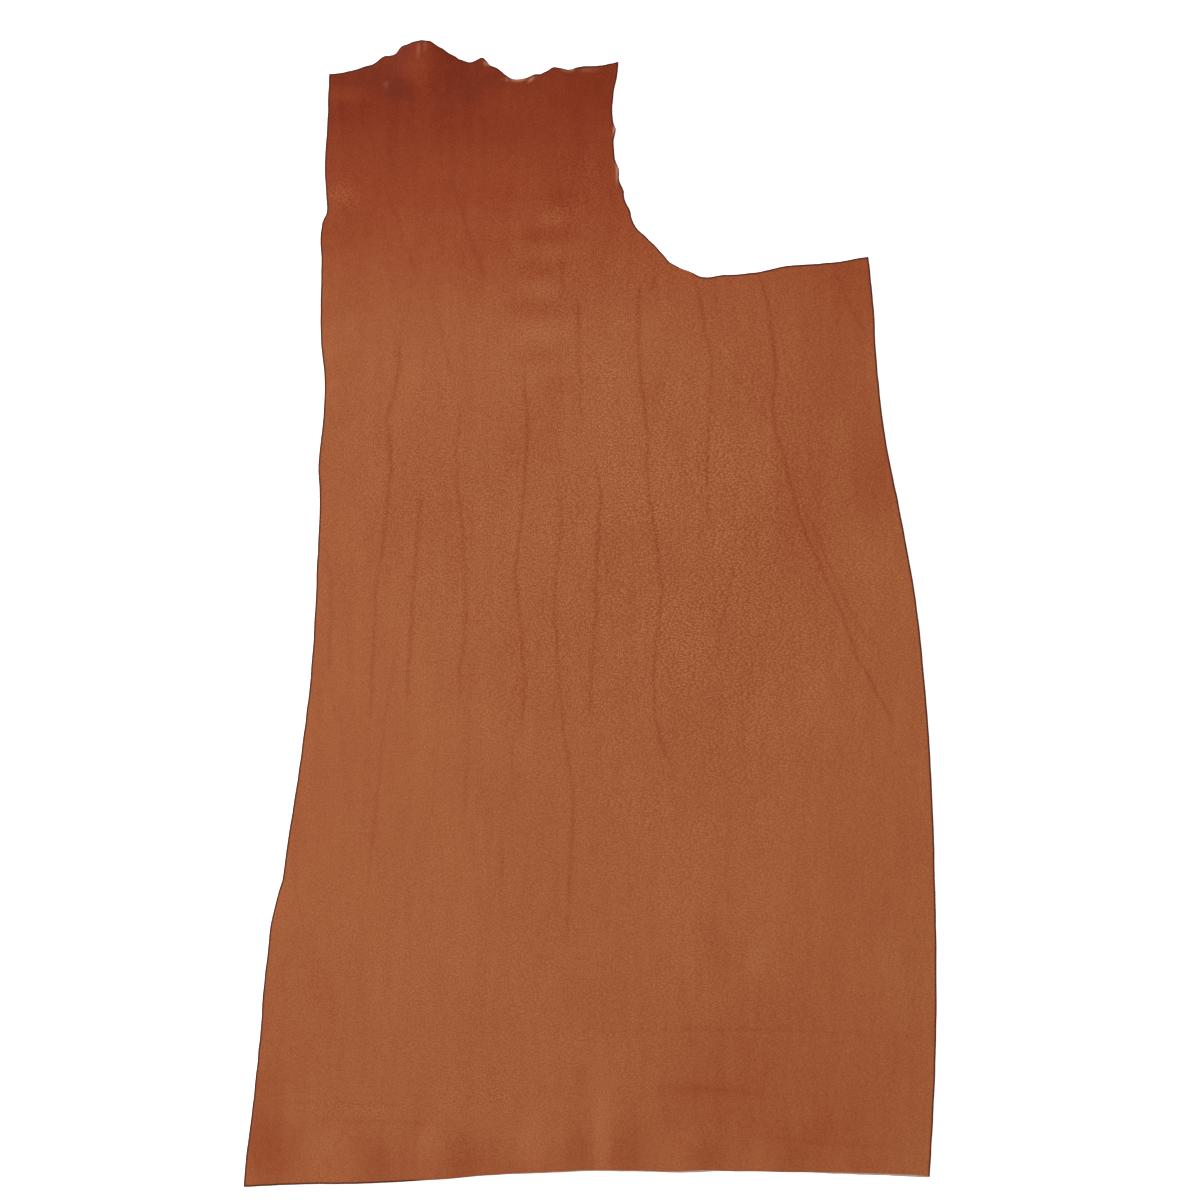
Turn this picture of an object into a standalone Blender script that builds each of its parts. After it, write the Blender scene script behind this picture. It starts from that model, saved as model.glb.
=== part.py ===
"""A single shoulder of vegetable-tanned cattle leather, laid out flat with its grain side up.

One sheet, 2 mm thick. The neck edge is at +Y and left as it came off the hide, the spine edge runs
down the left side, the foreleg leaves a notch between the neck and the tip of the shoulder, the
belly edge runs down the right side, and the lower edge is one knife cut across the body. The flesh
side lies flat on the ground at z = 0 and the rim lifts off it in low ripples.

Metres, +Z up, with the origin on the ground under the middle of the sheet.
"""

from collections import namedtuple

import bmesh
import bpy
import numpy as np
from mathutils.geometry import delaunay_2d_cdt

MM = 0.001

THICKNESS = 2.0 * MM  # as split for bags and belts
RIM_STEP = 12.0 * MM  # between points along the rim
FIELD_STEP = 25.0 * MM  # between points inside it
RIM_CLEARANCE = 0.55  # of a field step, kept between a field point and the rim
MERGE = 0.001 * MM

COGNAC = (0.27, 0.08, 0.028, 1.0)
GRAIN_ROUGHNESS = 0.55

# Each edge is a soft curve through these marks, in millimetres from the middle of the sheet. It
# starts at the sharp corner where the edge before it ends.
Mark = namedtuple("Mark", "across along")

NECK_EDGE = [
    Mark(-273.5, 567.0),
    Mark(-247.0, 571.0),
    Mark(-222.5, 580.5),
    Mark(-204.5, 588.0),
    Mark(-196.0, 596.5),
    Mark(-171.0, 601.5),
    Mark(-147.0, 588.0),
    Mark(-126.0, 579.0),
    Mark(-112.0, 583.5),
    Mark(-98.5, 573.5),
    Mark(-84.0, 562.5),
    Mark(-66.0, 563.0),
    Mark(-48.5, 568.0),
    Mark(-38.0, 574.0),
    Mark(-20.5, 571.5),
    Mark(10.5, 575.5),
]
FORELEG_NOTCH = [
    Mark(29.5, 580.0),
    Mark(25.0, 547.0),
    Mark(23.5, 521.0),
    Mark(27.0, 510.5),
    Mark(25.0, 486.0),
    Mark(29.5, 469.0),
    Mark(30.5, 454.0),
    Mark(35.0, 438.0),
    Mark(42.0, 421.0),
    Mark(63.0, 391.5),
    Mark(84.0, 369.5),
    Mark(105.5, 359.0),
    Mark(121.0, 353.5),
    Mark(156.5, 356.5),
    Mark(204.0, 365.0),
    Mark(259.5, 369.0),
]
BELLY_EDGE = [
    Mark(292.0, 375.0),
    Mark(297.0, 328.0),
    Mark(300.5, 268.0),
    Mark(309.0, 190.0),
    Mark(326.0, 104.0),
    Mark(341.0, 19.0),
    Mark(351.0, -70.0),
    Mark(358.5, -182.0),
    Mark(362.5, -305.0),
    Mark(363.5, -376.0),
    Mark(362.0, -485.0),
]
KNIFE_CUT = [
    Mark(356.5, -590.0),
    Mark(262.5, -587.0),
    Mark(147.0, -584.5),
    Mark(94.5, -586.0),
    Mark(23.0, -584.5),
    Mark(-93.5, -588.5),
    Mark(-197.5, -595.5),
    Mark(-323.5, -599.0),
]
SPINE_EDGE = [
    Mark(-363.5, -601.0),
    Mark(-355.5, -529.0),
    Mark(-345.0, -427.0),
    Mark(-336.5, -342.0),
    Mark(-318.5, -248.0),
    Mark(-303.5, -150.0),
    Mark(-292.5, -58.5),
    Mark(-286.5, 48.5),
    Mark(-284.5, 140.0),
    Mark(-278.5, 246.0),
    Mark(-282.0, 300.0),
    Mark(-282.0, 371.0),
    Mark(-276.5, 425.0),
    Mark(-278.0, 465.0),
]
EDGES = [NECK_EDGE, FORELEG_NOTCH, BELLY_EDGE, KNIFE_CUT, SPINE_EDGE]

# Each ripple is a low oval swell with its middle on the rim: where, how far it reaches across and
# along the sheet, and how far it lifts the rim, in millimetres.
Ripple = namedtuple("Ripple", "across along reach_across reach_along lift")
RIPPLES = [
    Ripple(-251, -597, 48, 80, 4.0),
    Ripple(-152, -593, 42, 85, 4.0),
    Ripple(-38, -587, 44, 95, 4.5),
    Ripple(28, -585, 30, 130, 3.5),
    Ripple(108, -586, 38, 62, 3.0),
    Ripple(195, -586, 40, 52, 2.5),
    Ripple(272, -587, 46, 50, 2.0),
    Ripple(-336, -330, 60, 48, 2.5),
    Ripple(-281, 216, 46, 30, 2.5),
    Ripple(-280, 272, 46, 30, 2.5),
    Ripple(-282, 336, 52, 34, 3.0),
    Ripple(-280, 414, 58, 40, 3.5),
    Ripple(-171, 601, 55, 62, 5.0),
    Ripple(-15, 573, 48, 45, 1.5),
    Ripple(28, 470, 45, 60, 1.0),
    Ripple(292, 375, 60, 55, 1.0),
]


def soft_curve(marks, step):
    """Points about a step apart on a smooth curve from the first mark to the last, which is left out.

    Between two marks it is a cubic. Its slope at a mark is the mean of the slopes of the two straight
    lines that meet there, the shorter line counting for more.
    """
    gaps = np.diff(marks, axis=0)
    lengths = np.linalg.norm(gaps, axis=1)[:, None]
    slopes = gaps / lengths
    middle = slopes[:-1] * lengths[1:] + slopes[1:] * lengths[:-1]
    middle /= lengths[1:] + lengths[:-1]
    slopes = np.vstack([slopes[:1], middle, slopes[-1:]])
    pieces = []
    for i, length in enumerate(lengths[:, 0]):
        count = max(1, round(length / step))
        t = np.arange(count)[:, None] / count
        pieces.append(
            (2 * t**3 - 3 * t**2 + 1) * marks[i]
            + (t**3 - 2 * t**2 + t) * length * slopes[i]
            + (3 * t**2 - 2 * t**3) * marks[i + 1]
            + (t**3 - t**2) * length * slopes[i + 1]
        )
    return np.vstack(pieces)


def sheet_rim():
    """The rim's points in order, clockwise from the corner of neck and spine, centred on the origin."""
    rim = []
    for edge, following in zip(EDGES, EDGES[1:] + EDGES[:1]):
        marks = np.array(edge + following[:1]) * MM
        rim.append(soft_curve(marks, RIM_STEP))
    rim = np.vstack(rim)
    return rim - (rim.min(axis=0) + rim.max(axis=0)) / 2


def inside(points, rim):
    """Whether each point has an odd number of the rim's lines to its right."""
    starts, ends = rim, np.roll(rim, -1, axis=0)
    x, y = points[:, :1], points[:, 1:]
    spans = (starts[:, 1] > y) != (ends[:, 1] > y)
    rise = ends[:, 1] - starts[:, 1]
    rise[rise == 0] = MERGE
    crossing = starts[:, 0] + (y - starts[:, 1]) * (ends[:, 0] - starts[:, 0]) / rise
    return (spans & (x < crossing)).sum(axis=1) % 2 == 1


def field_points(rim):
    """Points on a triangular lattice inside the rim and clear of it."""
    row_gap = FIELD_STEP * np.sqrt(3) / 2
    low, high = rim.min(axis=0), rim.max(axis=0)
    rows = np.arange(low[1] + row_gap / 2, high[1], row_gap)
    columns = np.arange(low[0], high[0], FIELD_STEP)
    x, y = np.meshgrid(columns, rows)
    x[1::2] += FIELD_STEP / 2
    points = np.column_stack([x.ravel(), y.ravel()])
    gaps = np.linalg.norm(points[:, None] - rim[None], axis=2).min(axis=1)
    return points[inside(points, rim) & (gaps > RIM_CLEARANCE * FIELD_STEP)]


def lift(points):
    """How far the flesh side is off the ground: each ripple is its height times (1 - r²)², where r
    is the distance from its middle as a share of its reach, and the highest ripple at a point counts.
    """
    height = np.zeros(len(points))
    for ripple in RIPPLES:
        r_squared = (
            ((points[:, 0] / MM - ripple.across) / ripple.reach_across) ** 2
            + ((points[:, 1] / MM - ripple.along) / ripple.reach_along) ** 2
        )
        swell = ripple.lift * MM * np.clip(1 - r_squared, 0, None) ** 2
        height = np.maximum(height, swell)
    return height


def leather():
    material = bpy.data.materials.new("vegetable-tanned leather")
    material.use_nodes = True
    shader = material.node_tree.nodes["Principled BSDF"]
    shader.inputs["Base Color"].default_value = COGNAC
    shader.inputs["Roughness"].default_value = GRAIN_ROUGHNESS
    shader.inputs["Metallic"].default_value = 0.0
    material.diffuse_color = COGNAC
    return material


def make_hide():
    """The flesh side is a net of triangles between the rim and the field points. Drawn up by the
    thickness, it leaves the cut edge behind it and becomes the grain side.
    """
    rim = sheet_rim()
    rim_lines = [(i, (i + 1) % len(rim)) for i in range(len(rim))]
    flat = np.vstack([rim, field_points(rim)])
    within_rim = 1
    corners, _, triangles, *_ = delaunay_2d_cdt(flat.tolist(), rim_lines, [], within_rim, MERGE)
    corners = np.array(corners)

    net = bmesh.new()
    points = [net.verts.new(place) for place in np.column_stack([corners, lift(corners)])]
    for triangle in triangles:
        net.faces.new([points[i] for i in triangle])
    drawn = bmesh.ops.extrude_face_region(net, geom=net.faces[:])["geom"]
    grain_side = [item for item in drawn if isinstance(item, bmesh.types.BMVert)]
    bmesh.ops.translate(net, vec=(0, 0, THICKNESS), verts=grain_side)
    bmesh.ops.recalc_face_normals(net, faces=net.faces[:])

    mesh = bpy.data.meshes.new("hide")
    net.to_mesh(mesh)
    net.free()
    mesh.materials.append(leather())
    mesh.shade_smooth()
    mesh.set_sharp_from_angle(angle=np.radians(40))
    hide = bpy.data.objects.new("hide", mesh)
    bpy.context.scene.collection.objects.link(hide)


for thing in list(bpy.data.objects):
    bpy.data.objects.remove(thing)
make_hide()
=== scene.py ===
from collections import namedtuple

import bpy
import numpy as np
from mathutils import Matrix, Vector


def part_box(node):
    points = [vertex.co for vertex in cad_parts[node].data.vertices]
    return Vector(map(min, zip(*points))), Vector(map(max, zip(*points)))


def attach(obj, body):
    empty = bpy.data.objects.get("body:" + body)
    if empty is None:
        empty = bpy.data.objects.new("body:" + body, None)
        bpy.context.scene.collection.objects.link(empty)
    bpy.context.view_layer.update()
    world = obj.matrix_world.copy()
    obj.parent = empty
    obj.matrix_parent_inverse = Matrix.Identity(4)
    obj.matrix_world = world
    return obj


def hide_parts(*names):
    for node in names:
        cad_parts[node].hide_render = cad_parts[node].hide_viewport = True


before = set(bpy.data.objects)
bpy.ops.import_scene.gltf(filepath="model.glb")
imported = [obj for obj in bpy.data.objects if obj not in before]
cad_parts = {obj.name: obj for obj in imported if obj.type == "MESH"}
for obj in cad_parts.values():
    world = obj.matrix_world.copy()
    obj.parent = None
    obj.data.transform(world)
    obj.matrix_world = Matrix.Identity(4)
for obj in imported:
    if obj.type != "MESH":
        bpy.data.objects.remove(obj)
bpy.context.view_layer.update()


# ---------------------------------------------------------------------------------------------
# The hide: one shoulder of cattle leather, vegetable-tanned, split to 2 mm, dyed through with
# aniline and waxed on its grain side. A knife trimmed it, slowly round the neck and the foreleg and
# in one pass across the body. It lies loose on the ground with its rim lifting a little.

MM = 0.001
THICKNESS = 2.0 * MM

# The rim: each edge is a soft curve through its marks, in millimetres from the middle of the sheet.
# Neck, notch and belly are listed clockwise. The knife cut and the spine edge both start from the
# corner where they meet.
Mark = namedtuple("Mark", "across along")
NECK_EDGE = [
    Mark(-273.5, 567.0),
    Mark(-257.0, 568.5),
    Mark(-247.0, 571.0),
    Mark(-235.5, 574.5),
    Mark(-222.5, 580.5),
    Mark(-217.0, 585.0),
    Mark(-204.5, 588.0),
    Mark(-201.0, 591.5),
    Mark(-198.0, 595.0),
    Mark(-189.0, 598.5),
    Mark(-183.5, 600.5),
    Mark(-171.0, 601.5),
    Mark(-157.5, 594.5),
    Mark(-147.0, 588.0),
    Mark(-135.5, 581.5),
    Mark(-126.0, 579.0),
    Mark(-118.5, 581.5),
    Mark(-113.0, 584.0),
    Mark(-109.5, 581.5),
    Mark(-105.0, 575.5),
    Mark(-98.5, 573.5),
    Mark(-92.5, 569.0),
    Mark(-83.0, 562.0),
    Mark(-74.5, 561.5),
    Mark(-66.0, 563.0),
    Mark(-58.0, 566.0),
    Mark(-48.5, 568.0),
    Mark(-43.0, 571.5),
    Mark(-38.0, 574.0),
    Mark(-28.5, 572.5),
    Mark(-21.0, 571.5),
    Mark(-10.5, 574.5),
    Mark(10.5, 575.5),
    Mark(21.0, 577.5),
    Mark(29.5, 580.0),
]
NECK_SIDE = [  # from the corner of the neck edge down to the foot of the notch
    Mark(29.5, 580.0),
    Mark(27.5, 560.5),
    Mark(24.5, 547.0),
    Mark(23.5, 522.0),
    Mark(25.0, 513.5),
    Mark(27.0, 510.5),
    Mark(26.5, 505.0),
    Mark(24.5, 499.0),
    Mark(25.0, 485.0),
    Mark(26.0, 476.5),
    Mark(29.5, 469.5),
    Mark(30.0, 454.5),
    Mark(35.0, 444.5),
    Mark(35.0, 437.5),
    Mark(38.0, 430.0),
    Mark(42.0, 423.5),
    Mark(43.0, 417.0),
    Mark(45.0, 410.5),
    Mark(63.0, 391.5),
    Mark(74.0, 380.0),
    Mark(82.5, 370.5),
    Mark(91.0, 364.5),
    Mark(105.5, 359.0),
]
SHOULDER_EDGE = [
    Mark(105.5, 359.0),
    Mark(116.0, 354.0),
    Mark(121.0, 353.5),
    Mark(138.5, 355.5),
    Mark(156.5, 356.5),
    Mark(183.0, 360.0),
    Mark(204.5, 365.0),
    Mark(220.5, 366.5),
    Mark(259.5, 369.5),
    Mark(292.0, 375.0),
]
BELLY_EDGE = [
    Mark(292.0, 375.0),
    Mark(297.0, 328.0),
    Mark(300.5, 268.0),
    Mark(309.0, 190.0),
    Mark(326.0, 104.0),
    Mark(341.0, 19.0),
    Mark(351.0, -70.0),
    Mark(358.5, -182.0),
    Mark(362.5, -305.0),
    Mark(363.5, -376.0),
    Mark(362.0, -485.0),
    Mark(356.5, -590.0),
]
KNIFE_CUT = [
    Mark(-363.5, -601.0),
    Mark(-323.5, -599.0),
    Mark(-197.5, -595.5),
    Mark(-93.5, -588.5),
    Mark(23.0, -584.5),
    Mark(94.5, -586.0),
    Mark(147.0, -584.5),
    Mark(262.5, -587.4),
    Mark(356.5, -591.4),
]
SPINE_EDGE = [
    Mark(-363.5, -601.0),
    Mark(-359.5, -558.0),
    Mark(-355.5, -529.0),
    Mark(-345.0, -427.0),
    Mark(-341.5, -382.0),
    Mark(-336.5, -342.0),
    Mark(-336.0, -335.0),
    Mark(-326.0, -290.0),
    Mark(-323.0, -279.5),
    Mark(-318.5, -248.0),
    Mark(-303.5, -150.0),
    Mark(-292.5, -58.5),
    Mark(-286.5, 48.5),
    Mark(-284.0, 133.0),
    Mark(-285.0, 148.0),
    Mark(-280.0, 204.0),
    Mark(-278.5, 246.0),
    Mark(-282.0, 285.0),
    Mark(-282.0, 371.0),
    Mark(-280.0, 411.5),
    Mark(-276.5, 420.0),
    Mark(-276.5, 437.0),
    Mark(-278.0, 465.0),
    Mark(-275.5, 521.0),
    Mark(-273.5, 567.0),
]
SPINE_LEVEL = Mark(-282.0, 359.0)  # on the spine edge, level with the foot of the foreleg notch

# How ragged the knife left each edge: how far it strays, and how often, in millimetres.
Fray = namedtuple("Fray", "depth pitch seed")
CUT_FRAY = Fray(0.15, 9, seed=1)
BELLY_FRAY = Fray(0.25, 11, seed=2)
SHOULDER_FRAY = Fray(0.3, 9, seed=3)
NECK_SIDE_FRAY = Fray(0.5, 8, seed=4)
NECK_FRAY = Fray(0.5, 5, seed=5)
LOW_SPINE_FRAY = Fray(0.3, 12, seed=6)
HIGH_SPINE_FRAY = Fray(0.4, 9, seed=7)

# How far the pale flesh stands out below the grain along the knife cut, where the blade was held
# over, in millimetres.
Slant = namedtuple("Slant", "across width")
CUT_SLANTS = [
    Slant(-200, 0.0),
    Slant(-165, 1.0),
    Slant(-75, 1.6),
    Slant(10, 2.3),
    Slant(75, 2.0),
    Slant(115, 3.4),
    Slant(152, 1.0),
    Slant(200, 1.4),
    Slant(270, 3.2),
    Slant(340, 4.0),
    Slant(356, 3.0),
]

# The lie of the sheet, in millimetres: each ripple is a low oval swell with its middle on the rim.
Ripple = namedtuple("Ripple", "across along reach_across reach_along lift")
RIPPLES = [
    Ripple(-251, -597, 48, 80, 4.0),
    Ripple(-152, -593, 42, 85, 4.0),
    Ripple(-38, -587, 44, 95, 4.5),
    Ripple(28, -585, 30, 130, 3.5),
    Ripple(108, -586, 38, 62, 3.0),
    Ripple(195, -586, 40, 52, 2.5),
    Ripple(272, -587, 46, 50, 2.0),
    Ripple(-336, -330, 60, 48, 2.5),
    Ripple(-281, 216, 46, 30, 2.5),
    Ripple(-280, 272, 46, 30, 2.5),
    Ripple(-282, 336, 52, 34, 3.0),
    Ripple(-280, 414, 58, 40, 3.5),
    Ripple(-171, 601, 55, 62, 5.0),
    Ripple(-15, 573, 48, 45, 1.5),
    Ripple(28, 470, 45, 60, 1.0),
    Ripple(292, 375, 60, 55, 1.0),
]

# Lower still, the puckers of a sheet that was stored rolled up.
PUCKERS = [
    Ripple(-48, 408, 34, 9, 0.35),
    Ripple(-50, 374, 40, 14, 0.45),
    Ripple(-56, 334, 48, 15, 0.60),
    Ripple(-48, 286, 46, 17, 0.55),
    Ripple(-42, 240, 34, 14, 0.35),
    Ripple(14, -505, 17, 90, 0.60),
    Ripple(-255, -523, 70, 7, 0.25),
    Ripple(140, -494, 75, 8, 0.25),
    Ripple(250, -548, 90, 8, 0.25),
]

# Growth wrinkles, the lines that the living animal's neck left in the grain. Each runs through its
# marks, and its depth is a share of the deepest one's. Neighbours follow one another in the list.
GROWTH_WRINKLES = [
    (0.5, [Mark(-280, 75), Mark(-272, 40), Mark(-271, 0), Mark(-274, -62)]),
    (0.2, [Mark(-213, 515), Mark(-208, 470), Mark(-199, 440), Mark(-193, 425)]),
    (0.4, [Mark(-217, 458), Mark(-209, 430), Mark(-200, 410), Mark(-197, 392), Mark(-188, 372),
           Mark(-179, 348)]),
    (0.9, [Mark(-199, 290), Mark(-202, 245), Mark(-213, 204), Mark(-208, 160), Mark(-213, 110),
           Mark(-219, 60), Mark(-225, 25), Mark(-226, -20), Mark(-229, -60), Mark(-230, -108)]),
    (0.9, [Mark(-178, 128), Mark(-181, 80), Mark(-185, 30), Mark(-188, -20), Mark(-191, -60),
           Mark(-192, -90)]),
    (0.5, [Mark(-205, -45), Mark(-210, -80), Mark(-217, -115), Mark(-219, -150), Mark(-223, -190),
           Mark(-228, -232), Mark(-234, -300)]),
    (0.5, [Mark(-147, 462), Mark(-137, 430), Mark(-129, 405), Mark(-122, 385), Mark(-114, 365),
           Mark(-106, 345)]),
    (0.6, [Mark(-158, 312), Mark(-153, 280), Mark(-147, 260), Mark(-141, 246)]),
    (0.8, [Mark(-135, 222), Mark(-140, 170), Mark(-139, 130), Mark(-134, 90), Mark(-132, 50),
           Mark(-130, 10), Mark(-132, -30), Mark(-137, -62), Mark(-137, -95)]),
    (0.5, [Mark(-127, -98), Mark(-126, -140), Mark(-130, -180), Mark(-131, -212)]),
    (0.3, [Mark(-81, 455), Mark(-76, 425), Mark(-69, 402)]),
    (1.0, [Mark(-70, 262), Mark(-67, 225), Mark(-65, 190), Mark(-68, 150), Mark(-70, 115),
           Mark(-75, 75), Mark(-78, 40), Mark(-75, 10), Mark(-72, -20), Mark(-71, -50),
           Mark(-67, -70), Mark(-70, -95), Mark(-71, -125)]),
    (0.5, [Mark(-74, -60), Mark(-80, -85), Mark(-88, -118)]),
    (0.4, [Mark(-80, -128), Mark(-82, -160), Mark(-79, -200)]),
    (0.4, [Mark(-36, 500), Mark(-35, 470), Mark(-31, 440), Mark(-27, 410), Mark(-25, 392)]),
    (0.5, [Mark(-30, 372), Mark(-29, 350), Mark(-27, 330)]),
    (0.9, [Mark(-14, 335), Mark(-11, 300), Mark(-12, 270), Mark(-9, 240), Mark(-10, 220),
           Mark(-7, 192)]),
    (0.8, [Mark(-32, 132), Mark(-30, 100), Mark(-32, 70), Mark(-36, 40), Mark(-37, 0),
           Mark(-34, -50), Mark(-31, -90), Mark(-27, -130), Mark(-20, -165), Mark(-17, -200),
           Mark(-20, -250), Mark(-25, -350)]),
    (1.0, [Mark(3, 165), Mark(8, 145), Mark(12, 125), Mark(9, 85), Mark(7, 40), Mark(7, 0),
           Mark(3, -30), Mark(1, -70), Mark(1, -112)]),
    (0.4, [Mark(20, 452), Mark(25, 430), Mark(34, 405)]),
    (0.5, [Mark(76, 366), Mark(65, 345), Mark(58, 330)]),
    (1.0, [Mark(52, 350), Mark(51, 320), Mark(51, 290), Mark(53, 250), Mark(57, 220),
           Mark(61, 190), Mark(60, 150), Mark(63, 120), Mark(69, 85), Mark(73, 50), Mark(76, 20),
           Mark(74, 0), Mark(69, -30), Mark(67, -70), Mark(69, -110), Mark(74, -135),
           Mark(85, -158)]),
    (0.8, [Mark(112, 348), Mark(117, 320), Mark(121, 295), Mark(129, 265), Mark(126, 230),
           Mark(124, 190), Mark(123, 160), Mark(124, 120), Mark(125, 85)]),
    (0.5, [Mark(131, 277), Mark(145, 258), Mark(160, 240), Mark(171, 224), Mark(182, 204)]),
    (0.5, [Mark(163, 105), Mark(166, 80), Mark(164, 62)]),
    (0.7, [Mark(158, 68), Mark(152, 52), Mark(148, 30), Mark(144, 10), Mark(135, -15),
           Mark(133, -55)]),
    (0.3, [Mark(178, 65), Mark(179, 45), Mark(176, 22)]),
    (1.0, [Mark(177, 355), Mark(185, 335), Mark(190, 310), Mark(192, 280), Mark(196, 260),
           Mark(192, 225), Mark(194, 195), Mark(203, 168), Mark(210, 140), Mark(217, 110),
           Mark(226, 85), Mark(238, 60), Mark(246, 40), Mark(255, 20), Mark(265, 0),
           Mark(272, -20), Mark(280, -45), Mark(292, -65), Mark(305, -90), Mark(320, -118)]),
    (0.7, [Mark(224, 112), Mark(238, 85), Mark(250, 52), Mark(262, 30), Mark(270, 8),
           Mark(285, -15), Mark(296, -32)]),
    (0.4, [Mark(257, 362), Mark(266, 335), Mark(278, 315), Mark(290, 292), Mark(298, 278)]),
    (0.3, [Mark(280, 200), Mark(278, 150), Mark(282, 105)]),
    (0.3, [Mark(-93, -205), Mark(-92, -250), Mark(-94, -295)]),
    (0.3, [Mark(-164, -262), Mark(-166, -315)]),
    (0.3, [Mark(-312, -245), Mark(-308, -290), Mark(-299, -335)]),
    (0.3, [Mark(37, -225), Mark(38, -255), Mark(42, -300)]),
    (0.4, [Mark(146, -225), Mark(142, -262), Mark(145, -305)]),
    (0.4, [Mark(95, -497), Mark(145, -500), Mark(192, -506)]),
    (0.3, [Mark(0, -440), Mark(90, -436), Mark(210, -437), Mark(350, -445)]),
    (0.3, [Mark(185, -548), Mark(240, -556), Mark(330, -560)]),
    (0.3, [Mark(-315, -512), Mark(-270, -516), Mark(-190, -515)]),
    (0.3, [Mark(-312, -528), Mark(-260, -532), Mark(-170, -534)]),
]

# Where the skin took the dye deeper (or, below nought, less deep), as soft ovals. Among them are rows
# of small ovals that take turns darker and lighter: these are painted shade and painted sheen on the
# slopes of the puckers, and of the ripples along the knife cut.
Cloud = namedtuple("Cloud", "across along reach_across reach_along amount")
DYE_AND_SHADE_CLOUDS = [
    Cloud(-197, 550, 26, 17, 0.11),
    Cloud(-225, 556, 60, 26, 0.06),
    Cloud(-133, 548, 24, 24, 0.07),
    Cloud(-95, 562, 22, 16, 0.07),
    Cloud(-46, 568, 26, 14, 0.04),
    Cloud(-265, 525, 60, 26, 0.06),
    Cloud(-257, 545, 45, 14, -0.12),
    Cloud(-262, 440, 30, 18, -0.14),
    Cloud(-110, 225, 90, 60, 0.04),
    Cloud(-150, 440, 120, 30, 0.05),
    Cloud(-180, 575, 26, 40, -0.22),
    Cloud(-80, 540, 45, 26, -0.06),
    Cloud(270, 300, 70, 140, 0.16),
    Cloud(225, 110, 70, 140, 0.16),
    Cloud(150, -40, 110, 90, 0.05),
    Cloud(205, 250, 95, 95, 0.12),
    Cloud(302, 160, 50, 110, 0.20),
    Cloud(-110, 365, 110, 60, 0.06),
    # From here to (-52, 270): painted shade and painted sheen, darker and lighter in turn down the
    # slopes of the puckers.
    Cloud(-30, 438, 24, 15, 0.13),
    Cloud(-38, 414, 28, 12, -0.10),
    Cloud(-44, 397, 46, 15, 0.12),
    Cloud(-42, 380, 44, 13, -0.07),
    Cloud(-48, 362, 42, 13, 0.08),
    Cloud(-56, 342, 34, 14, -0.10),
    Cloud(-48, 320, 60, 15, 0.13),
    Cloud(-52, 297, 54, 16, -0.08),
    Cloud(-52, 270, 46, 16, 0.12),
    Cloud(-30, 242, 24, 20, 0.08),
    Cloud(-50, 180, 60, 90, 0.08),
    Cloud(210, -500, 220, 190, 0.14),
    Cloud(232, -550, 70, 30, 0.07),
    Cloud(-190, -270, 130, 200, -0.06),
    # Partly dye, and partly painted shade on a ripple of the knife cut.
    Cloud(-336, -563, 44, 55, 0.30),
    Cloud(-340, -505, 36, 50, 0.14),
    Cloud(-150, -596, 270, 60, 0.12),
    # From here to (-8, -563), and (36, -560), (13, -540), (125, -572) and (215, -574): painted shade
    # and painted sheen on the ripples of the knife cut.
    Cloud(-222, -577, 24, 34, 0.10),
    Cloud(-134, -566, 26, 38, 0.10),
    Cloud(-8, -563, 26, 34, 0.11),
    Cloud(-10, -490, 12, 34, 0.10),
    Cloud(36, -560, 34, 44, 0.16),
    Cloud(13, -540, 15, 60, -0.12),
    Cloud(110, -500, 80, 16, 0.07),
    Cloud(-220, -550, 110, 40, 0.07),
    Cloud(125, -572, 30, 26, 0.10),
    Cloud(215, -574, 38, 24, 0.08),
    Cloud(124, -330, 24, 24, 0.08),
    Cloud(136, -362, 26, 44, 0.08),
    Cloud(173, -363, 20, 40, -0.08),
    # These three: painted sheen on the ripples of the knife cut.
    Cloud(-283, -556, 34, 26, -0.06),
    Cloud(-168, -560, 24, 30, -0.09),
    Cloud(-70, -560, 28, 30, -0.09),
]
# Where the grain is drawn up in pebbles rather than smooth.
PEBBLED = [
    Cloud(60, 60, 330, 420, 0.68),
    Cloud(-190, 120, 150, 260, 0.25),
    Cloud(-30, 380, 160, 160, 0.25),
    Cloud(-60, -380, 400, 260, 0.20),
    Cloud(-250, -518, 70, 18, 0.35),
    Cloud(-120, -500, 70, 40, 0.25),
    Cloud(-130, -555, 70, 24, 0.25),
    Cloud(-262, 440, 30, 18, 0.65),
    Cloud(-5, 470, 40, 40, 0.30),
    Cloud(-30, 420, 30, 22, 0.45),
]
# Pale marks: old scars and scuffs where the paler skin shows, and pale fibres along the ragged rim. The
# thin line just inside the neck's top edge near its corner is a painted highlight where that edge curls
# up.
PALE_MARKS = [
    Cloud(-214, 555, 4, 4, 0.14),
    Cloud(-180, 592, 3, 12, 0.16),
    Cloud(-173, 596, 2.5, 9, 0.13),
    Cloud(-107, 578, 8, 3, 0.5),
    Cloud(-72, 561, 26, 2.4, 0.6),
    # A painted highlight on the neck's top edge, where it curls up.
    Cloud(-16, 571.5, 32, 1.8, 0.35),
    Cloud(25.5, 508, 1.8, 7, 0.8),
    Cloud(28, 465, 1.8, 20, 0.6),
]

CURVE_STEPS = 32  # tried between two marks of an edge, to space its points evenly
COLUMNS, NECK_COLUMNS = 260, 176  # of the grid, across the body and across the neck
BODY_ROWS, NECK_ROWS = 268, 64  # below the foot of the notch, and above it
FLESH_STEP = 4  # the flesh side has one cell to this many of the grain side's, each way


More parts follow.
